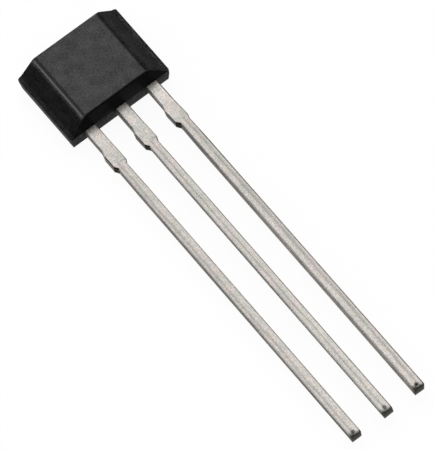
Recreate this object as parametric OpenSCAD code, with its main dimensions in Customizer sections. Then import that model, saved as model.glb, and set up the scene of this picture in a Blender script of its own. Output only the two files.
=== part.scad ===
// Hall effect sensor in a flat three-lead single in-line package.
// The part lies on its back face, which is Z = 0. +Z leaves the bare sensing face, X runs from
// lead 1 to lead 3, and the leads point along -Y. The origin is the centre of the back face.
// All sizes are in millimetres.

/* [Package body] */
// Width over the parting line
body_w = 4.10; // [3.90:0.05:4.40]
// Height over the parting line, leads left out
body_h = 3.00; // [2.80:0.05:3.40]
// Thickness from the back face to the sensing face
body_t = 1.50; // [1.35:0.05:1.80]
// Thickness of the back half, from the back face to the parting line
back_t = 0.70; // [0.55:0.05:0.85]
// Width of the sensing face, between the corners that its two side edges would have unrounded
face_w = 2.64; // [2.20:0.02:2.90]
// Width of the shallow foot along each side, between the parting line and the slope
foot_w = 0.15; // [0.04:0.01:0.20]
// Height of that foot above the parting line
foot_h = 0.07; // [0.02:0.01:0.12]
// Draft of all four walls of the back half, in degrees
back_draft = 6; // [1:1:8]
// Draft of the two end walls of the front half, in degrees
front_draft = 6.5; // [1:0.5:10]
// Radius along the two sides of the sensing face
side_edge_r = 0.32; // [0.10:0.02:0.36]
// Radius along the two ends of the sensing face
end_edge_r = 0.10; // [0.03:0.01:0.16]
// Radius round the back face
back_edge_r = 0.05; // [0.02:0.01:0.10]
// Radius of the four upright corners
corner_r = 0.08; // [0.03:0.01:0.15]

/* [Marks left by the mould] */
// Diameter of the ejector pin mark in the back face
ejector_d = 1.00; // [0.60:0.05:1.40]
// Depth of the ejector pin mark
ejector_depth = 0.04; // [0.01:0.01:0.08]
// Width of the broken-off gate, on the end away from the leads
gate_w = 0.60; // [0.30:0.05:0.90]
// Height of the gate, down from the parting line
gate_h = 0.20; // [0.10:0.02:0.30]
// How far the gate and the tie bar stand out of the end wall
trim_burr = 0.03; // [0.01:0.01:0.08]
// Distance from the middle of the package to the middle of the gate
gate_x = 1.05; // [0.80:0.05:1.20]

/* [Leads] */
// Distance between the middles of neighbouring leads
lead_pitch = 1.27; // [1.20:0.01:1.34]
// Length of the leads below the package
lead_len = 14.28; // [5:0.02:20]
// Thickness of the lead strip
lead_t = 0.38; // [0.30:0.01:0.45]
// Width of a lead between the package and the dam bar stubs
neck_w = 0.40; // [0.34:0.01:0.46]
// Width over the two stubs where the dam bar was cut off
stub_w = 0.50; // [0.47:0.01:0.60]
// Width of a lead below the stubs
shank_w = 0.35; // [0.28:0.01:0.44]
// Distance from the package to where the lead begins to widen
flare_start = 0.90; // [0.60:0.05:1.00]
// Distance from the package to the full width of the stubs
stub_start = 1.15; // [1.05:0.05:1.45]
// Distance from the package to the lower corners of the stubs
stub_end = 1.66; // [1.50:0.02:2.20]
// Length of the slant from those corners in to the lead
stub_slant = 0.16; // [0.04:0.02:0.30]

/* [Lead frame inside the package] */
// Length of each lead inside the moulding before it widens
inner_neck = 0.60; // [0.40:0.05:0.75]
// Width of the paddle that carries the chip
paddle_w = 1.50; // [1.36:0.02:1.56]
// Height of the paddle
paddle_h = 1.85; // [1.65:0.05:2.10]
// Gap between the paddle and the bond post on either side
frame_gap = 0.20; // [0.14:0.02:0.26]
// Width of each bond post
post_w = 0.66; // [0.56:0.02:0.76]
// Height of each bond post
post_h = 1.35; // [1.00:0.05:1.60]
// Radius of the half-round notches that lock the frame in the moulding
lock_r = 0.10; // [0.05:0.01:0.14]
// Width of the tie bar between the paddle and the end of the package
tie_w = 0.30; // [0.20:0.02:0.40]

/* [Chip] */
// Width of the chip
chip_w = 1.06; // [0.80:0.02:1.20]
// Height of the chip
chip_h = 0.96; // [0.70:0.02:1.10]
// Thickness of the chip
chip_t = 0.25; // [0.15:0.01:0.30]
// Distance from the top edge of the paddle to the top edge of the chip
chip_inset = 0.35; // [0.15:0.05:0.40]
// Thickness of the adhesive under the chip
bed_t = 0.02; // [0.01:0.005:0.04]
// How far the adhesive shows round the chip
bed_margin = 0.04; // [0.01:0.01:0.08]

/* [Bond wires] */
// Thickness of the gold wire
wire_d = 0.03; // [0.02:0.005:0.05]
// Diameter of the ball bond on the chip
ball_d = 0.08; // [0.07:0.01:0.11]
// Height of the ball bond
ball_h = 0.02; // [0.01:0.005:0.03]
// Distance from the edge of the chip to the middle of a ball bond
pad_inset = 0.12; // [0.08:0.01:0.20]
// Height of the wire's loop above the ball bond
loop_h = 0.12; // [0.06:0.01:0.16]
// Length of the flattened end that is stitched to the lead
stitch_len = 0.10; // [0.06:0.01:0.14]
// Thickness of that flattened end
stitch_t = 0.015; // [0.01:0.005:0.02]

/* [Hidden] */
$fn = 48;

// Levels above the back face. The front of the lead frame lies in the parting plane.
frame_top = back_t;
frame_bottom = back_t - lead_t;
chip_top = frame_top + bed_t + chip_t;

// Half sizes of the moulding at the back face and at the sensing face
back_half_w = body_w / 2 - back_t * tan(back_draft);
back_half_h = body_h / 2 - back_t * tan(back_draft);
face_half_h = body_h / 2 - (body_t - back_t) * tan(front_draft);

// Places of the lead frame, the chip and the bonds in the plane of the sensing face
body_end = -body_h / 2;
frame_start = body_end + inner_neck;
paddle_top = frame_start + paddle_h;
post_inner = paddle_w / 2 + frame_gap;
post_middle = [post_inner + post_w / 2, frame_start + post_h / 2];
chip_middle = [0, paddle_top - chip_inset - chip_h / 2];
side_pad = [chip_w / 2 - pad_inset, chip_middle.y];
side_stitch = [post_inner + post_w / 3, chip_middle.y];
ground_pad = [0, chip_middle.y - chip_h / 2 + pad_inset];
bed_end = chip_middle.y - chip_h / 2 - bed_margin;
ground_stitch = [0, (bed_end + frame_start) / 2];

// Profile of half the moulding, standing on the parting plane. side lists the corners of its right
// side from the parting plane up. The two upper corners are rounded by true arcs.
module half_profile(side, half_top, height, r) {
    last = side[len(side) - 1];
    lean = atan2(last.x - half_top, height - last.y);
    trim = r * tan((90 - lean) / 2);
    arc_x = half_top - trim;
    arc_start = [half_top, height] + trim * [sin(lean), -cos(lean)];
    right = concat(side, [arc_start, [arc_x, height]]);
    polygon(concat(right, [for (point = reversed(right)) [-point.x, point.y]]));
    for (end = [-1, 1])
        translate([end * arc_x, height - r]) circle(r);
}

// Stands a profile up so that it runs from side to side, or from end to end
module along_x(length) {
    rotate([90, 0, 90]) linear_extrude(length, center = true) children();
}

module along_y(length) {
    rotate([90, 0, 0]) linear_extrude(length, center = true) children();
}

// Upright block with the outline of the moulding at the parting plane
module outline_block(height) {
    linear_extrude(height) {
        square([body_w - 2 * corner_r, body_h], center = true);
        square([body_w, body_h - 2 * corner_r], center = true);
        for (x = [-1, 1], y = [-1, 1])
            translate([x * (body_w / 2 - corner_r), y * (body_h / 2 - corner_r)]) circle(corner_r);
    }
}

// Back half of the moulding: drafted on all four walls, widest at the parting plane
module back_half() {
    translate([0, 0, back_t]) mirror([0, 0, 1]) intersection() {
        along_y(body_h) half_profile([[body_w / 2, 0]], back_half_w, back_t, back_edge_r);
        along_x(body_w) half_profile([[body_h / 2, 0]], back_half_h, back_t, back_edge_r);
        outline_block(back_t);
    }
}

// Front half: a shallow foot and a steep slope along each side, lightly drafted ends
module front_half() {
    height = body_t - back_t;
    sloped_side = [[body_w / 2, 0], [body_w / 2 - foot_w, foot_h]];
    translate([0, 0, back_t]) intersection() {
        along_y(body_h) half_profile(sloped_side, face_w / 2, height, side_edge_r);
        along_x(body_w) half_profile([[body_h / 2, 0]], face_half_h, height, end_edge_r);
        outline_block(height);
    }
}

// Stub of resin where the mould's runner broke off
module gate() {
    translate([gate_x - gate_w / 2, 0, back_t - gate_h]) cube([gate_w, body_h / 2 + trim_burr, gate_h]);
}

// Plan of one lead, with its middle on X = 0 and the end of the package at Y = body_end
module lead_plan() {
    right_edge = [[neck_w / 2, frame_start + lock_r], [neck_w / 2, body_end - flare_start],
                  [stub_w / 2, body_end - stub_start], [stub_w / 2, body_end - stub_end],
                  [shank_w / 2, body_end - stub_end - stub_slant], [shank_w / 2, body_end - lead_len]];
    polygon(concat(right_edge, [for (point = reversed(right_edge)) [-point.x, point.y]]));
}

// Plan of the bond post of lead 3, notched so that it locks in the moulding
module post_plan() {
    difference() {
        translate([post_inner, frame_start]) square([post_w, post_h]);
        for (x = [post_inner, post_inner + post_w])
            translate([x, post_middle.y]) circle(lock_r);
    }
}

// Plan of the paddle under the chip, notched in the same way
module paddle_plan() {
    difference() {
        translate([-paddle_w / 2, frame_start]) square([paddle_w, paddle_h]);
        for (side = [-1, 1])
            translate([side * paddle_w / 2, bed_end - 2 * lock_r]) circle(lock_r);
    }
}

// Plan of the tie bar, from under the chip to its cut end
module tie_bar_plan() {
    translate([-tie_w / 2, chip_middle.y]) square([tie_w, body_h / 2 + trim_burr - chip_middle.y]);
}

// Stamps a plan out of the lead strip
module stamped() {
    color([0.80, 0.78, 0.76])
        translate([0, 0, frame_bottom]) linear_extrude(lead_t) children();
}

// A cubic curve through four control points, and its direction
function curve(p, t) =
    pow(1 - t, 3) * p[0] + 3 * pow(1 - t, 2) * t * p[1] + 3 * (1 - t) * t * t * p[2] + pow(t, 3) * p[3];

function heading(p, t) =
    let (d = pow(1 - t, 2) * (p[1] - p[0]) + 2 * (1 - t) * t * (p[2] - p[1]) + t * t * (p[3] - p[2]))
    d / norm(d);

// Points at one side of a band that follows the curve
function band_side(p, offset, steps) =
    [for (i = [0:steps]) let (t = i / steps, d = heading(p, t)) curve(p, t) + offset * [-d.y, d.x]];

function reversed(list) = [for (i = [len(list) - 1:-1:0]) list[i]];

// Side view of a bond wire: up from the ball, over in a loop, down to a flat stitch on the lead
module wire_profile(span, drop) {
    steps = 10;
    crest = ball_h + loop_h / 0.75;
    path = [[0, ball_h], [0, crest], [0.62 * span, crest], [span, wire_d / 2 - drop]];
    intersection() {
        polygon(concat(band_side(path, wire_d / 2, steps), reversed(band_side(path, -wire_d / 2, steps))));
        translate([-span, -drop]) square([3 * span, drop + 2 * crest]);
    }
    translate([span - stitch_len / 2, -drop]) square([stitch_len, stitch_t]);
}

module bond_wire(pad, stitch) {
    run = stitch - pad;
    color([0.90, 0.72, 0.30])
        translate([pad.x, pad.y, chip_top]) rotate(atan2(run.y, run.x)) {
            cylinder(d = ball_d, h = ball_h);
            along_y(wire_d) wire_profile(norm(run), chip_top - frame_top);
        }
}

module supply_lead() {
    mirror([1, 0, 0]) output_lead();
}

module ground_lead() {
    union() {
        stamped() lead_plan();
        stamped() paddle_plan();
        stamped() tie_bar_plan();
    }
}

module output_lead() {
    union() {
        stamped() translate([lead_pitch, 0]) lead_plan();
        stamped() post_plan();
    }
}

module hall_chip() {
    color([0.36, 0.38, 0.44])
        translate([chip_middle.x, chip_middle.y, frame_top + bed_t])
            linear_extrude(chip_t) square([chip_w, chip_h], center = true);
}

module chip_adhesive() {
    color([0.72, 0.72, 0.70])
        translate([chip_middle.x, chip_middle.y, frame_top])
            linear_extrude(bed_t) square([chip_w + 2 * bed_margin, chip_h + 2 * bed_margin], center = true);
}

module supply_bond_wire() {
    mirror([1, 0, 0]) output_bond_wire();
}

module ground_bond_wire() {
    bond_wire(ground_pad, ground_stitch);
}

module output_bond_wire() {
    bond_wire(side_pad, side_stitch);
}

// The moulding fills everything round the lead frame, the chip and the wires
module package_body() {
    color([0.17, 0.17, 0.18])
        difference() {
            union() {
                back_half();
                front_half();
                gate();
            }
            translate([0, 0, -ejector_depth]) cylinder(d = ejector_d, h = 2 * ejector_depth);
            supply_lead();
            ground_lead();
            output_lead();
            hall_chip();
            chip_adhesive();
            supply_bond_wire();
            ground_bond_wire();
            output_bond_wire();
        }
}

package_body();
supply_lead();
ground_lead();
output_lead();
hall_chip();
chip_adhesive();
supply_bond_wire();
ground_bond_wire();
output_bond_wire();
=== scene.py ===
import math

import bmesh
import bpy
from mathutils import Matrix, Quaternion, Vector


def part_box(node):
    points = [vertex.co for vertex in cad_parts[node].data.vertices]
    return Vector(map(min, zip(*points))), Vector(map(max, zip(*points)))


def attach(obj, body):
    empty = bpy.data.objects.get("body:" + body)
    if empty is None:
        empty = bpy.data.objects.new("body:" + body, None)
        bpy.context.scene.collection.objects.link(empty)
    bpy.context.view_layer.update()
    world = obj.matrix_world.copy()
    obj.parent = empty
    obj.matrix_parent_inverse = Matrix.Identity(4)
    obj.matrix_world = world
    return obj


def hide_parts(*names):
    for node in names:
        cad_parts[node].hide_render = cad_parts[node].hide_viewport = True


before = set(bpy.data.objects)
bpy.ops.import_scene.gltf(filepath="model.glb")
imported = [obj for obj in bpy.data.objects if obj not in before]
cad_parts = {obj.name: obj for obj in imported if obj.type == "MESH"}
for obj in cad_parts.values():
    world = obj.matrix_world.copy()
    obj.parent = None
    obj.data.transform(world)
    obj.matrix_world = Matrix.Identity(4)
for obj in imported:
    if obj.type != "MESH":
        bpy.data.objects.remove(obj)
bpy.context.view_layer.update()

# Ground lead
# Lead 2 of the sensor, stamped from 0.38 mm copper alloy strip in one piece with the paddle that carries
# the chip. The strip was plated with matt tin before it was moulded, and the dam bar and the free end were
# cut through the plating afterwards, which left bare metal there.

mm = 0.001
hair = 0.001 * mm
x_axis = Vector((1, 0, 0))
y_axis = Vector((0, 1, 0))


def blank(node):
    """A node's solid as a clean mesh: its corners joined and each flat in one face."""
    solid = bmesh.new()
    solid.from_mesh(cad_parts[node].data)
    bmesh.ops.remove_doubles(solid, verts=solid.verts, dist=0.1 * hair)
    flat = math.radians(0.5)
    bmesh.ops.dissolve_limit(solid, angle_limit=flat, verts=solid.verts, edges=solid.edges)
    return solid


def sharp(edge):
    """Says whether two faces meet at the edge by more than 30 degrees."""
    return len(edge.link_faces) == 2 and edge.calc_face_angle() > math.radians(30)


def soften(solid, wanted, radius, segments):
    """Rounds the edges that wanted() picks."""
    bmesh.ops.bevel(
        solid,
        geom=[edge for edge in solid.edges if wanted(edge)],
        offset=radius,
        segments=segments,
        profile=0.5,
        affect="EDGES",
        clamp_overlap=False,
    )


def steps(start, end, count):
    """The places that divide the way from start to end into count equal steps."""
    return [start + (end - start) * i / count for i in range(count + 1)]


def cut_up(solid, axis, places, inside=lambda face: True):
    """Cuts the faces that inside() picks at places along the axis, so that they can be shaped."""
    for place in places:
        faces = [face for face in solid.faces if inside(face)]
        edges = dict.fromkeys(edge for face in faces for edge in face.edges)
        corners = dict.fromkeys(corner for face in faces for corner in face.verts)
        bmesh.ops.bisect_plane(
            solid, geom=[*faces, *edges, *corners], plane_co=axis * place, plane_no=axis, dist=0.1 * hair
        )


def ease(start, end, value):
    """0 before start, 1 after end, and a smooth rise between."""
    way = min(max((value - start) / (end - start), 0), 1)
    return way * way * (3 - 2 * way)


def piece(name, solid, node, materials):
    """Makes the piece that stands for a node and rides where the node does."""
    bmesh.ops.remove_doubles(solid, verts=solid.verts, dist=0.2 * hair)
    for face in solid.faces:
        face.smooth = True
    for edge in solid.edges:
        edge.smooth = not sharp(edge)
    mesh = bpy.data.meshes.new(name)
    solid.to_mesh(mesh)
    solid.free()
    for material in materials:
        mesh.materials.append(material)
    made = bpy.data.objects.new(name, mesh)
    bpy.context.scene.collection.objects.link(made)
    evened = made.modifiers.new("even_normals", "WEIGHTED_NORMAL")
    evened.keep_sharp = True
    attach(made, "root")
    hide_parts(node)


def linear(hex_colour):
    """A colour written as sRGB hex, turned linear."""
    parts = [int(hex_colour[i : i + 2], 16) / 255 for i in (1, 3, 5)]
    return [c / 12.92 if c <= 0.04045 else ((c + 0.055) / 1.055) ** 2.4 for c in parts] + [1.0]


def add(tree, kind, sockets, out=0, **settings):
    """Adds a node, links or sets its sockets, by order or by name, and gives back one of its outputs."""
    node = tree.nodes.new("ShaderNode" + kind)
    for name, value in settings.items():
        setattr(node, name, value)
    named = sockets.items() if isinstance(sockets, dict) else enumerate(sockets)
    for socket, value in named:
        if isinstance(value, bpy.types.NodeSocket):
            tree.links.new(value, node.inputs[socket])
        else:
            node.inputs[socket].default_value = value
    return node.outputs[out] if node.outputs else None


# A Mix node that mixes colours has these sockets.
mix_by = 0
mix_from = 6
mix_to = 7
mixed = 2


def begin(name):
    """An empty material, its nodes, and the place on the part in millimetres."""
    made = bpy.data.materials.new(name)
    made.use_nodes = True
    tree = made.node_tree
    tree.nodes.clear()
    place = add(tree, "TexCoord", (), out="Object")
    place = add(tree, "VectorMath", {0: place, "Scale": 1 / mm}, operation="SCALE")
    return made, tree, place


def matt_tin_plate(streak, tip_end, pit, pit_stretch, pit_shade, stub_y, die_shade):
    """Matt tin, plated on and then rubbed by the die, with places in mm.

    To the eye it is a pale grey metal with a fine grain, faint lines along the lead and one darker streak,
    and it is dark and pitted where the tip was cut. The grain of the tin is about 0.005 mm, too fine to
    show, so it is drawn at 0.04 mm. pit_shade and die_shade are the share of the colour that is left in the
    pit and on the line where the dam bar was cut off.
    """
    made, tree, place = begin("matt_tin_plate")
    across = add(tree, "SeparateXYZ", (place,), out="X")
    along = add(tree, "SeparateXYZ", (place,), out="Y")

    # patches 0.4 mm wide, some a little pinker and some a little greener
    patches = add(tree, "TexNoise", {"Vector": place, "Scale": 1 / 0.4, "Detail": 3.0})
    patches = add(tree, "MapRange", (patches, 0.35, 0.65, 0.0, 1.0))
    tints = {mix_by: patches, mix_from: linear("#cec5c0"), mix_to: linear("#c1c1ba")}
    colour = add(tree, "Mix", tints, out=mixed, data_type="RGBA")
    grain = add(tree, "TexNoise", {"Vector": place, "Scale": 1 / 0.04, "Detail": 4.0})
    grain = add(tree, "MapRange", (grain, 0.3, 0.7, 0.72, 1.28))

    # lines 0.022 mm wide and 1.5 mm long, which the strip got when it was rolled
    lengthwise = add(tree, "VectorMath", (place, (1 / 0.022, 1 / 1.54, 1 / 0.022)), operation="MULTIPLY")
    lines = add(tree, "TexNoise", {"Vector": lengthwise, "Scale": 1.0, "Detail": 2.0})
    lines = add(tree, "MapRange", (lines, 0.3, 0.7, 0.88, 1.12))

    # a streak that the die rubbed below the stubs, which wanders 0.02 mm to each side
    slow = add(tree, "VectorMath", (place, (1 / 14.4, 1 / 1.6, 1 / 14.4)), operation="MULTIPLY")
    wander = add(tree, "TexNoise", {"Vector": slow, "Scale": 1.0, "Detail": 1.0})
    wander = add(tree, "MapRange", (wander, 0.3, 0.7, -0.02, 0.02))
    aside = add(tree, "Math", (across, wander), operation="ADD")
    aside = add(tree, "Math", (aside, streak[0]), operation="SUBTRACT")
    aside = add(tree, "Math", (aside,), operation="ABSOLUTE")
    rub_and_painted_highlight = add(tree, "MapRange", (along, stub_y - 0.15, stub_y + 0.2, 0.74, 0.98))
    rub_and_painted_highlight = add(tree, "MapRange", (aside, 0.3 * streak[1], streak[1], rub_and_painted_highlight, 1.0))

    # painted light: the plate is painted up to 1.48 times paler towards the package, against its shade;
    # it is darker over the first 0.25 mm next to the package, and wear from handling darkens it further out
    root = add(tree, "MapRange", (along, -2.5, -1.5, 1.0, 1.48))
    darker_near_package = add(tree, "MapRange", (along, -1.75, -1.5, 1.0, 0.55))
    handled = add(tree, "MapRange", (along, -14.0, -8.0, 0.99, 0.92))

    # bare metal behind the cut tip, up to a ragged line that leans across the lead
    ragged = add(tree, "TexNoise", {"Vector": place, "Scale": 1 / 0.12, "Detail": 2.0})
    ragged = add(tree, "MapRange", (ragged, 0.3, 0.7, -0.04, 0.04))
    lean = add(tree, "Math", (across, pit.x), operation="SUBTRACT")
    lean = add(tree, "Math", (lean, 0.35), operation="MULTIPLY")
    behind = add(tree, "Math", (ragged, lean), operation="ADD")
    behind = add(tree, "Math", (along, behind), operation="ADD")
    tip = add(tree, "MapRange", (behind, tip_end + 0.02, tip_end + 0.2, 0.08, 1.0))

    # the pit, drawn out along the lead by pit_stretch
    pressed = add(tree, "VectorMath", (place, (1, 1 / pit_stretch, 0)), operation="MULTIPLY")
    centre = (pit.x, pit.y / pit_stretch, 0)
    off_pit = add(tree, "VectorMath", (pressed, centre), out="Value", operation="DISTANCE")
    pitted = add(tree, "MapRange", (off_pit, 0.02, 0.08, pit_shade, 1.0))

    # the line 0.1 mm wide where the cutter of the dam bar stopped, which starts at the middle of the lead
    die_y = add(tree, "TexNoise", {"Vector": place, "Scale": 1 / 0.25, "Detail": 1.0})
    die_y = add(tree, "MapRange", (die_y, 0.3, 0.7, stub_y - 0.05, stub_y + 0.05))
    off_line = add(tree, "Math", (along, die_y), operation="SUBTRACT")
    off_line = add(tree, "Math", (off_line,), operation="ABSOLUTE")
    die_line = add(tree, "MapRange", (across, pit.x - 0.02, pit.x + 0.1, 1.0, die_shade))
    die_line = add(tree, "MapRange", (off_line, 0.01, 0.05, die_line, 1.0))

    shade = grain
    for share in (lines, rub_and_painted_highlight, root, darker_near_package, handled, tip, pitted, die_line):
        shade = add(tree, "Math", (shade, share), operation="MULTIPLY")
    shaded = {mix_by: 1.0, mix_from: colour, mix_to: shade}
    colour = add(tree, "Mix", shaded, out=mixed, data_type="RGBA", blend_type="MULTIPLY")
    relief = add(tree, "Bump", {"Height": grain, "Distance": 0.002 * mm, "Strength": 0.4})
    finish = {"Base Color": colour, "Metallic": 1.0, "Roughness": 0.45, "Normal": relief}
    add(tree, "OutputMaterial", {"Surface": add(tree, "BsdfPrincipled", finish)})
    return made


def sheared_copper(name, dark, light, specular, root_shade=1.0):
    """Copper alloy strip, sheared by the die and dulled by oxide.

    To the eye it is brown grey in patches 0.5 mm wide, hardly shiny, with score marks 0.03 mm wide that run
    through the thickness of the strip. It is darker at the cut tip, and by root_shade at the package.
    """
    made, tree, place = begin(name)
    through = add(tree, "VectorMath", (place, (1 / 0.03, 1 / 0.03, 1 / 0.24)), operation="MULTIPLY")
    scored = add(tree, "TexNoise", {"Vector": through, "Scale": 1.0, "Detail": 3.0})
    patches = add(tree, "TexNoise", {"Vector": place, "Scale": 1 / 0.5, "Detail": 2.0})
    paler = add(tree, "Math", (scored, patches), operation="ADD")
    paler = add(tree, "MapRange", (paler, 0.7, 1.3, 0.0, 1.0))
    tints = {mix_by: paler, mix_from: linear(dark), mix_to: linear(light)}
    colour = add(tree, "Mix", tints, out=mixed, data_type="RGBA")
    along = add(tree, "SeparateXYZ", (place,), out="Y")
    root = add(tree, "MapRange", (along, -8.5, -3.3, 1.0, root_shade))
    tip = add(tree, "MapRange", (along, -15.75, -15.4, 0.4, 1.0))
    shade = add(tree, "Math", (root, tip), operation="MULTIPLY")
    shaded = {mix_by: 1.0, mix_from: colour, mix_to: shade}
    colour = add(tree, "Mix", shaded, out=mixed, data_type="RGBA", blend_type="MULTIPLY")
    relief = add(tree, "Bump", {"Height": scored, "Distance": 0.004 * mm, "Strength": 0.5})
    finish = {"Base Color": colour, "Roughness": 0.5, "Specular IOR Level": specular, "Normal": relief}
    add(tree, "OutputMaterial", {"Surface": add(tree, "BsdfPrincipled", finish)})
    return made


sheared_side = sheared_copper("sheared_lead_side", "#4c4842", "#78726a", 0.15)
cut_end = sheared_copper("bare_copper_end", "#4c4b46", "#8f8d86", 0.05)
# bare copper of the cut stub, painted near black as painted shade of the hollow under it
cut_stub_painted_shade = sheared_copper("bare_copper_stub_painted_shade", "#141210", "#36322d", 0.02)
plated, on_side, on_end, on_stub = range(4)

package_low, package_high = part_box("package_body")
half_width = 0.175 * mm

# The die rolls the upper edges over, wears the tip and bares the copper there.
upper_roll = 0.045 * mm
lower_roll = 0.012 * mm
tip_length = 0.36 * mm
worn_length = 0.10 * mm
worn_depth = 0.015 * mm
bare_side = 0.1 * mm
bare_end = 0.035 * mm
pit_reach = 0.075 * mm
pit_depth = 0.035 * mm
neck_more = 0.04 * mm


def lead(
    node, side, side_from, streak, tip_corner, pit, pit_stretch, pit_shade,
    stub_more, stub_lip, wider, sway, twist, die_shade,
):
    """Makes one lead, with the rolled edges and worn tip that the die leaves and the bends of the real one.

    side is the material of the cut sides, and side_from says how far a face has to look left and right to
    show it. streak gives the die's streak as its middle and half width in mm, and pit gives the pit's
    place from the middle of the tip in mm. stub_more widens the left stub, and stub_lip its upper edge.
    wider is how much the lead gains on each side just below the stubs and at its tip. It stands sway to the
    right below the stubs, twisted there by twist degrees.
    """
    low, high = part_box(node)

    def upper(edge):
        return sharp(edge) and all(v.co.z > high.z - hair for v in edge.verts)

    def lower(edge):
        return sharp(edge) and all(v.co.z < low.z + hair for v in edge.verts)

    strip = blank(node)
    soften(strip, upper, upper_roll, 4)
    soften(strip, lower, lower_roll, 2)

    # where the lead's middle line, its stubs and its pit are
    tip = [v.co.x for v in strip.verts if v.co.y < low.y + 10 * hair]
    tip_right = max(tip)
    middle = (min(tip) + tip_right) / 2
    outside = [v.co for v in strip.verts if v.co.y < package_low.y - 0.5 * mm]
    widest = max(abs(co.x - middle) for co in outside)
    stub = [co.y for co in outside if abs(co.x - middle) > widest - 2 * hair]
    stub_foot = min(stub)
    stub_top = max(stub)
    pit_centre = Vector((middle + pit[0] * mm, low.y + pit[1] * mm))

    def in_tip(face):
        return all(v.co.y < low.y + tip_length + hair for v in face.verts)

    # coarse cuts along the lead, finer ones where it bends below the stubs, and a grid round the pit
    cut_up(strip, y_axis, steps(low.y + tip_length, stub_foot - 0.2 * mm, 24))
    cut_up(strip, y_axis, [package_low.y + 0.3 * mm, package_low.y + 0.5 * mm])
    cut_up(strip, y_axis, steps(stub_foot - 0.5 * mm, stub_foot - 0.1 * mm, 4))
    cut_up(strip, y_axis, steps(low.y + 0.02 * mm, low.y + tip_length, 17)[:-1], in_tip)
    cut_up(strip, x_axis, steps(middle - 0.16 * mm, middle + 0.16 * mm, 16), in_tip)

    # the cut ends, the cut stub on the left, and the sides are bare copper, and the rest is plated; the cut
    # stub is painted near black, as painted shade of the hollow under the stub
    for face in strip.faces:
        at = face.calc_center_median()
        right = face.normal.x
        bare = bare_side if abs(right) > 0.5 else bare_end
        if at.y < low.y + bare or at.y > package_high.y - 0.02 * mm:
            face.material_index = on_end
        elif face.normal.z < 0.97 and stub_foot - 0.15 * mm < at.y < stub_foot - 0.01 * mm:
            face.material_index = on_stub if at.x < middle else on_side
        elif right < -0.5 and stub_foot - 0.02 * mm < at.y < stub_top + 0.1 * mm:
            face.material_index = on_side
        elif right < -side_from[0] or right > side_from[1]:
            face.material_index = on_side
        else:
            face.material_index = plated

    for corner in strip.verts:
        x, y, z = corner.co
        height = (z - low.z) / (high.z - low.z)

        # the right corner of the tip is rounded, and the tip's upper side is worn and pitted
        out = Vector((x - (tip_right - tip_corner), (low.y + tip_corner) - y))
        if out.x > 0 and out.y > 0:
            rounded = out * max(out.x, out.y) / out.length
            corner.co.x += rounded.x - out.x
            corner.co.y -= rounded.y - out.y
        worn = max(0, 1 - (y - low.y) / worn_length) ** 2 * height**2
        corner.co.z -= worn * worn_depth
        off_pit = (Vector((x, y)) - pit_centre).length / pit_reach
        if height > 0.9 and off_pit < 1:
            corner.co.z -= pit_depth * (1 - off_pit**2) ** 2

        # the neck is wider on its right side, and the stub on its left, most of all at the top
        if x > middle + 0.05 * mm and stub_top + 0.01 * mm < y < package_low.y + 0.31 * mm:
            corner.co.x += neck_more
        if x < middle - 0.1 * mm and stub_foot - 0.01 * mm < y < stub_top + 0.01 * mm:
            corner.co.x -= stub_more
        if x < middle - 0.1 * mm and stub_foot - 0.01 * mm < y < package_low.y:
            corner.co.x -= stub_lip * height

        # below the stubs the lead is a little wider, twisted and bent aside
        below = max(0, stub_foot - y) / (stub_foot - low.y)
        gain = wider[0] * ease(0, 0.1, below) + (wider[1] - wider[0]) * below
        corner.co.x += gain * (x - middle) / half_width
        bent = ease(-0.25 * mm, 0.3 * mm, stub_foot - y)
        if bent > 0:
            axis_z = (low.z + high.z) / 2
            turn = Matrix.Rotation(math.radians(twist) * bent, 2)
            turned = turn @ Vector((corner.co.x - middle, corner.co.z - axis_z))
            corner.co.x = middle + turned.x + sway * bent
            corner.co.z = axis_z + turned.y

    pit_in_mm = (pit_centre + Vector((sway, 0))) / mm
    stub_y = stub_foot / mm + 0.03
    tin = matt_tin_plate(streak, low.y / mm, pit_in_mm, pit_stretch, pit_shade, stub_y, die_shade)
    piece(node + "_tinned", strip, node, [tin, side, cut_end, cut_stub_painted_shade])


lead(
    "ground_lead",
    side=sheared_side,
    side_from=(0.95, 0.7),
    streak=(-0.01, 0.05),
    tip_corner=0.04 * mm,
    pit=(-0.01, 0.18),
    pit_stretch=1.6,
    pit_shade=0.45,
    stub_more=0.022 * mm,
    stub_lip=0,
    wider=(0.01 * mm, 0.018 * mm),
    sway=0.027 * mm,
    twist=5.5,
    die_shade=0.7,
)

# Supply lead
# Lead 1, cut from the same plated strip. It ends inside the moulding in a bond post, notched so that the
# resin holds it.

lead(
    "supply_lead",
    side=sheared_side,
    side_from=(0.95, 0.85),
    streak=(-1.335, 0.07),
    tip_corner=0.03 * mm,
    pit=(-0.023, 0.15),
    pit_stretch=1.3,
    pit_shade=0.33,
    stub_more=0.022 * mm,
    stub_lip=0,
    wider=(0.01 * mm, 0.018 * mm),
    sway=0,
    twist=0.5,
    die_shade=0.7,
)

# Output lead
# Lead 3, the mirror image of lead 1 in the same plated strip. It stands a little to the outside and is
# twisted by a few degrees, so that its cut side shows wider, rubbed paler towards the tip.

rubbed_side = sheared_copper("rubbed_lead_side", "#7a746d", "#a8a19a", 0.15, root_shade=0.4)

lead(
    "output_lead",
    side=rubbed_side,
    side_from=(0.97, 0.2),
    streak=(1.355, 0.07),
    tip_corner=0.05 * mm,
    pit=(-0.014, 0.15),
    pit_stretch=1.0,
    pit_shade=0.06,
    stub_more=0.012 * mm,
    stub_lip=0.02 * mm,
    wider=(0.016 * mm, 0.024 * mm),
    sway=0.045 * mm,
    twist=-3.5,
    die_shade=1.0,
)

# Chip adhesive
# A thin bed of silver-filled epoxy between the chip and the paddle. It was dispensed as a paste, squeezed
# out a little round the chip when the chip was pressed on, and cured.


def dress(node, made):
    """Gives a node's own solid its material."""
    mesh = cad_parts[node].data
    mesh.materials.clear()
    mesh.materials.append(made)


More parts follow.
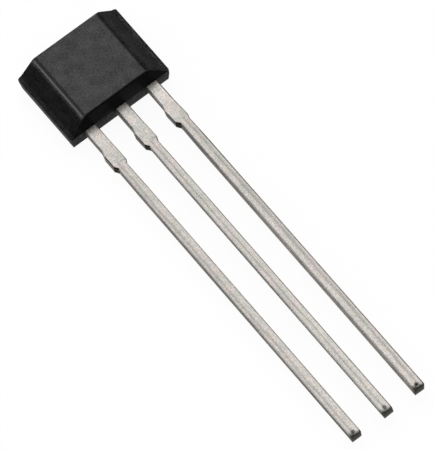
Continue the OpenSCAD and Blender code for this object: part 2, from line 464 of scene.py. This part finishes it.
def silver_epoxy():
    """Epoxy paste full of silver flakes 0.012 mm across: to the eye a dull grey that glitters finely."""
    made, tree, place = begin("silver_filled_epoxy")
    flakes = add(tree, "TexNoise", {"Vector": place, "Scale": 1 / 0.012, "Detail": 2.0})
    flakes = add(tree, "MapRange", (flakes, 0.45, 0.6, 0.0, 1.0))
    tints = {mix_by: flakes, mix_from: linear("#8a8880"), mix_to: linear("#cfcfca")}
    colour = add(tree, "Mix", tints, out=mixed, data_type="RGBA")
    relief = add(tree, "Bump", {"Height": flakes, "Distance": 0.002 * mm, "Strength": 0.5})
    finish = {"Base Color": colour, "Metallic": 0.6, "Roughness": 0.5, "Normal": relief}
    add(tree, "OutputMaterial", {"Surface": add(tree, "BsdfPrincipled", finish)})
    return made


dress("chip_adhesive", silver_epoxy())

# Hall chip
# A sawn die of silicon with the Hall plate and its amplifier in the upper face. It is glued to the paddle
# face up.


def silicon():
    """Polished silicon: a dark blue grey mirror with the blocks of the circuit, 0.07 mm wide, in it."""
    made, tree, place = begin("polished_silicon")
    cells = {"Vector": place, "Scale": 1 / 0.0714}
    blocks = add(tree, "TexVoronoi", cells, out="Distance", distance="CHEBYCHEV")
    blocks = add(tree, "MapRange", (blocks, 0.25, 0.4, 0.0, 1.0))
    tints = {mix_by: blocks, mix_from: linear("#3c4252"), mix_to: linear("#6a7286")}
    colour = add(tree, "Mix", tints, out=mixed, data_type="RGBA")
    tone = add(tree, "TexNoise", {"Vector": place, "Scale": 1 / 0.05, "Detail": 3.0})
    tone = add(tree, "MapRange", (tone, 0.3, 0.7, 0.9, 1.1))
    toned = {mix_by: 1.0, mix_from: colour, mix_to: tone}
    colour = add(tree, "Mix", toned, out=mixed, data_type="RGBA", blend_type="MULTIPLY")
    finish = {"Base Color": colour, "Metallic": 0.7, "Roughness": 0.12}
    add(tree, "OutputMaterial", {"Surface": add(tree, "BsdfPrincipled", finish)})
    return made


dress("hall_chip", silicon())

# Bond wires
# Three fine gold wires from the chip to the two bond posts and the paddle. Each is melted to a ball on its
# pad, looped over and stitched flat at its other end.


def gold():
    """Drawn gold: a bright yellow metal with fine drawing marks along the wire."""
    made, tree, place = begin("drawn_gold")
    drawn = add(tree, "VectorMath", (place, (1 / 0.03, 1 / 0.03, 1 / 0.006)), operation="MULTIPLY")
    marks = add(tree, "TexNoise", {"Vector": drawn, "Scale": 1.0, "Detail": 2.0})
    paler = add(tree, "MapRange", (marks, 0.35, 0.65, 0.0, 1.0))
    tints = {mix_by: paler, mix_from: linear("#e6b84e"), mix_to: linear("#f4d27c")}
    colour = add(tree, "Mix", tints, out=mixed, data_type="RGBA")
    relief = add(tree, "Bump", {"Height": marks, "Distance": 0.0005 * mm, "Strength": 0.4})
    finish = {"Base Color": colour, "Metallic": 1.0, "Roughness": 0.22, "Normal": relief}
    add(tree, "OutputMaterial", {"Surface": add(tree, "BsdfPrincipled", finish)})
    return made


drawn_gold = gold()
for node in ("supply_bond_wire", "ground_bond_wire", "output_bond_wire"):
    dress(node, drawn_gold)

# Package body
# One shot of black silica-filled epoxy, moulded round everything else. The mould is spark-eroded where it
# forms the sensing face and the back, and smoother where it forms the slopes and the front end walls. The
# slopes, the front end walls and the round edges are darker than the sensing face partly by that smoother
# finish and partly by painted shade, and some are painted paler as painted light, as noted at each finish.


def black_epoxy(name, dark, light, mottle, specular, roughness, depth, painted_highlight=1.0):
    """Black resin with silica filler, as the mould left it.

    To the eye it is a matt near-black with a faint mottle. The filler is about 0.02 mm, too fine to show,
    so the mottle is drawn at the size given in mm. depth is its relief in mm. The last number, where it is
    above 1, is how many times paler the resin is painted towards the left edge of the sensing face, as a
    painted highlight.
    """
    made, tree, place = begin(name)
    fine = add(tree, "TexNoise", {"Vector": place, "Scale": 1 / mottle, "Detail": 3.0})
    clouds = add(tree, "TexNoise", {"Vector": place, "Scale": 1 / 0.4, "Detail": 2.0})
    fine_part = add(tree, "Math", (fine, 0.65), operation="MULTIPLY")
    cloud_part = add(tree, "Math", (clouds, 0.35), operation="MULTIPLY")
    paler = add(tree, "Math", (fine_part, cloud_part), operation="ADD")
    paler = add(tree, "MapRange", (paler, 0.36, 0.64, 0.0, 1.0))
    tints = {mix_by: paler, mix_from: linear(dark), mix_to: linear(light)}
    colour = add(tree, "Mix", tints, out=mixed, data_type="RGBA")
    if painted_highlight > 1.0:
        # painted highlight: paler towards the left edge of the sensing face, up to the lamp's highlight
        # there
        across = add(tree, "SeparateXYZ", (place,), out="X")
        rub_and_painted_highlight = add(tree, "MapRange", (across, -1.48, -1.40, 1.0, painted_highlight))
        shaded = {mix_by: 1.0, mix_from: colour, mix_to: rub_and_painted_highlight}
        colour = add(tree, "Mix", shaded, out=mixed, data_type="RGBA", blend_type="MULTIPLY")
    relief = add(tree, "Bump", {"Height": fine, "Distance": depth * mm, "Strength": 0.5})
    finish = {
        "Base Color": colour,
        "Roughness": roughness,
        "IOR": 1.5,
        "Specular IOR Level": specular,
        "Normal": relief,
    }
    add(tree, "OutputMaterial", {"Surface": add(tree, "BsdfPrincipled", finish)})
    return made


# Each finish has its dark and its light colour, the size of its mottle, its specular level, its roughness
# and the depth of its relief, and the near slope how many times paler it is painted towards its edge as
# painted highlight.
epoxy = {
    "face": black_epoxy("sparked_epoxy_face", "#353535", "#575757", 0.06, 0.15, 0.6, 0.002),
    # painted shade: the right round edge is painted in the left slope's dark colours
    "dark edge": black_epoxy("dark_epoxy_edge", "#040404", "#1f1f1f", 0.08, 0.04, 0.4, 0.003),
    "smooth edge": black_epoxy("smooth_epoxy_edge", "#161616", "#242424", 0.05, 0.68, 0.26, 0.0005),
    # partly painted shade: the front end walls are smoother and also painted near black
    "end": black_epoxy("smooth_epoxy_end", "#060606", "#161616", 0.06, 0.011, 0.4, 0.002),
    "back": black_epoxy("sparked_epoxy_back", "#000002", "#474748", 0.09, 0.05, 0.6, 0.004),
    "break": black_epoxy("broken_epoxy", "#242424", "#4a4846", 0.03, 0.2, 0.8, 0.006),
    # painted shade: a darker copy of the face for the round edges next to it
    "painted shade edge": black_epoxy("painted_shade_epoxy_edge", "#262626", "#3c3c3c", 0.05, 0.1, 0.5, 0.001),
    # painted light: the right slope, one surface with the left one, is painted paler than it
    "far slope": black_epoxy("far_epoxy_slope", "#181818", "#363636", 0.06, 0.01, 0.5, 0.003),
    # painted shade: the left slope is painted darker than the right one
    "near slope": black_epoxy("near_epoxy_slope", "#040404", "#1f1f1f", 0.08, 0.04, 0.4, 0.003, painted_highlight=7),
    # painted shade: the band just inside the lamp's highlight on the left round edge is painted darker
    "painted shade band": black_epoxy("painted_shade_epoxy_band", "#202020", "#343434", 0.05, 0.1, 0.5, 0.001),
}
finishes = list(epoxy)

# The finishes from a wall up over the round edge to the sensing face. Each ends where a face looks further
# up than its number, from 0 for a plumb wall to 1 for the sensing face. Except for the smooth edge on the
# left, which the left softbox lights, the bands over the round edges are painted shade.
over_left = (
    ("near slope", 0.7), ("smooth edge", 0.86), ("painted shade band", 0.93), ("painted shade edge", 0.965), ("face", 2)
)
over_right = (("far slope", 0.9), ("dark edge", 0.96), ("painted shade edge", 0.99), ("face", 2))
over_end = (("end", 0.7), ("painted shade edge", 0.9), ("face", 2))

# The mould splits at the front of the lead frame. Its upright corners lie further out than outer_x and
# outer_y, and its drafted walls lean by more than leaning.
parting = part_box("ground_lead")[1].z
corner_radius = 0.03 * mm
gate_break = 0.028 * mm
foot_height = 0.09 * mm
outer_x = 1.15 * mm
outer_y = 1.2 * mm
leaning = 0.02


def faces_side(face):
    """Says whether a face belongs to a side wall or slope."""
    return abs(face.normal.x) > abs(face.normal.y) and abs(face.normal.x) > leaning


def faces_end(face):
    """Says whether a face belongs to an end wall."""
    return abs(face.normal.y) > abs(face.normal.x) and abs(face.normal.y) > leaning


def front_corner(edge):
    """Picks the edges in front of the parting line where a side wall and an end wall meet."""
    a, b = edge.link_faces
    outer = all(abs(v.co.x) > outer_x and abs(v.co.y) > outer_y for v in edge.verts)
    rises = max(v.co.z for v in edge.verts) > parting + 0.01 * mm
    above = min(v.co.z for v in edge.verts) > parting - hair
    return outer and rises and above and faces_side(a) != faces_side(b) and faces_end(a) != faces_end(b)


def finish_of(face):
    """Names the finish that the mould or the gate left on a face, or the painted shade or light that it
    gets.
    """
    at = face.calc_center_median()
    right, _, up = face.normal
    if at.y > package_high.y - gate_break:
        return "break"
    if at.z < parting - hair:
        return "back"
    if up > 0.999:
        return "face"
    if faces_end(face):
        over = over_end
    # painted light: the feet by the parting line get paler colours, the back's and the right slope's
    elif at.z < parting + foot_height and up > 0.8:
        return "back" if right > 0 else "far slope"
    else:
        over = over_right if right > 0 else over_left
    return next(finish for finish, limit in over if up < limit)


body = blank("package_body")
soften(body, front_corner, corner_radius, 3)

# cuts just inside the round edges keep their shading off the flats
cut_up(body, y_axis, [package_low.y + 0.25 * mm, package_high.y - 0.25 * mm])
cut_up(body, x_axis, [-1.1 * mm, 1.1 * mm])
for corner in body.verts:
    corner.co.z = min(corner.co.z, package_high.z)
for face in body.faces:
    face.material_index = finishes.index(finish_of(face))
piece("epoxy_moulding", body, "package_body", epoxy.values())

# Floor, light and camera
# A white sheet that keeps a faint shadow, a large softbox overhead, and a small one at the left that
# lights the round edge of the sensing face. The world is a plain pale studio, a little darker to the right.


def white_paper():
    """Matt white paper with soft fibres 0.4 mm wide: to the eye plain white with a faint shadow.

    Where the camera or a reflection sees it, most of its white is its own, and a little over full, to
    make up for the share that the lamps light.
    """
    made, tree, place = begin("white_paper")
    fibres = add(tree, "TexNoise", {"Vector": place, "Scale": 1 / 0.4, "Detail": 2.0})
    fibres = add(tree, "MapRange", (fibres, 0.3, 0.7, 0.0, 1.0))
    tints = {mix_by: fibres, mix_from: linear("#fafafa"), mix_to: linear("#fefefe")}
    colour = add(tree, "Mix", tints, out=mixed, data_type="RGBA")
    sheet = add(tree, "BsdfDiffuse", {"Color": colour})
    glow = add(tree, "Emission", {"Color": linear("#ffffff"), "Strength": 1.03})
    white = add(tree, "MixShader", (0.9, sheet, glow))
    camera_ray = add(tree, "LightPath", (), out="Is Camera Ray")
    glossy_ray = add(tree, "LightPath", (), out="Is Glossy Ray")
    clear_ray = add(tree, "LightPath", (), out="Is Transmission Ray")
    seen = add(tree, "Math", (camera_ray, glossy_ray), operation="MAXIMUM")
    seen = add(tree, "Math", (seen, clear_ray), operation="MAXIMUM")
    add(tree, "OutputMaterial", {"Surface": add(tree, "MixShader", (seen, sheet, white))})
    return made


half = 400 * mm
floor_mesh = bpy.data.meshes.new("floor")
floor_corners = [(-half, -half, 0), (half, -half, 0), (half, half, 0), (-half, half, 0)]
floor_mesh.from_pydata(floor_corners, [], [(0, 1, 2, 3)])
floor_mesh.materials.append(white_paper())
floor = bpy.data.objects.new("floor", floor_mesh)
bpy.context.scene.collection.objects.link(floor)

softbox_distance = 300 * mm


def towards(azimuth, elevation):
    """The direction out from the part at that azimuth and elevation in degrees."""
    a = math.radians(azimuth)
    e = math.radians(elevation)
    return Vector((math.sin(a) * math.cos(e), -math.cos(a) * math.cos(e), math.sin(e)))


def facing(out):
    """The turn that points a lamp or a camera from that direction at the part."""
    return (-out).to_track_quat("-Z", "Y")


def softbox(name, azimuth, elevation, half_angle, radiance):
    """A round lamp that fills a cone of that half angle, as bright as radiance times white."""
    radius = softbox_distance * math.tan(math.radians(half_angle))
    lamp = bpy.data.lights.new(name, "AREA")
    lamp.shape = "DISK"
    lamp.size = 2 * radius
    lamp.energy = radiance * math.pi * math.pi * radius**2
    stand = bpy.data.objects.new(name, lamp)
    bpy.context.scene.collection.objects.link(stand)
    out = towards(azimuth, elevation)
    stand.location = out * softbox_distance
    stand.rotation_mode = "QUATERNION"
    stand.rotation_quaternion = facing(out)


softbox("overhead_softbox", azimuth=153, elevation=64, half_angle=35, radiance=1.0)
softbox("left_softbox", azimuth=-114, elevation=18, half_angle=7, radiance=3.2)

world = bpy.data.worlds.new("studio")
world.use_nodes = True
world.node_tree.nodes.clear()
bpy.context.scene.world = world
studio = world.node_tree
direction = add(studio, "TexCoord", (), out="Generated")
rightwards = add(studio, "SeparateXYZ", (direction,), out="X")
strength = add(studio, "MapRange", (rightwards, -0.1, 0.7, 0.52, 0.28))
walls = add(studio, "Background", {"Color": linear("#ffffff"), "Strength": strength})
add(studio, "OutputWorld", {"Surface": walls})

camera_aim = Vector((-0.156, -6.927, 0.51)) * mm
camera_distance = 196.87 * mm
camera_roll = math.radians(-11.85)
lens = bpy.data.cameras.new("camera")
lens.sensor_width = 36.0
lens.lens = 481.86
lens.clip_start = 1 * mm
camera = bpy.data.objects.new("camera", lens)
bpy.context.scene.collection.objects.link(camera)
out = towards(azimuth=-26.80, elevation=64.25)
camera.location = camera_aim + out * camera_distance
camera.rotation_mode = "QUATERNION"
camera.rotation_quaternion = facing(out) @ Quaternion((0, 0, 1), camera_roll)
bpy.context.scene.camera = camera
bpy.context.scene.view_settings.view_transform = "Standard"
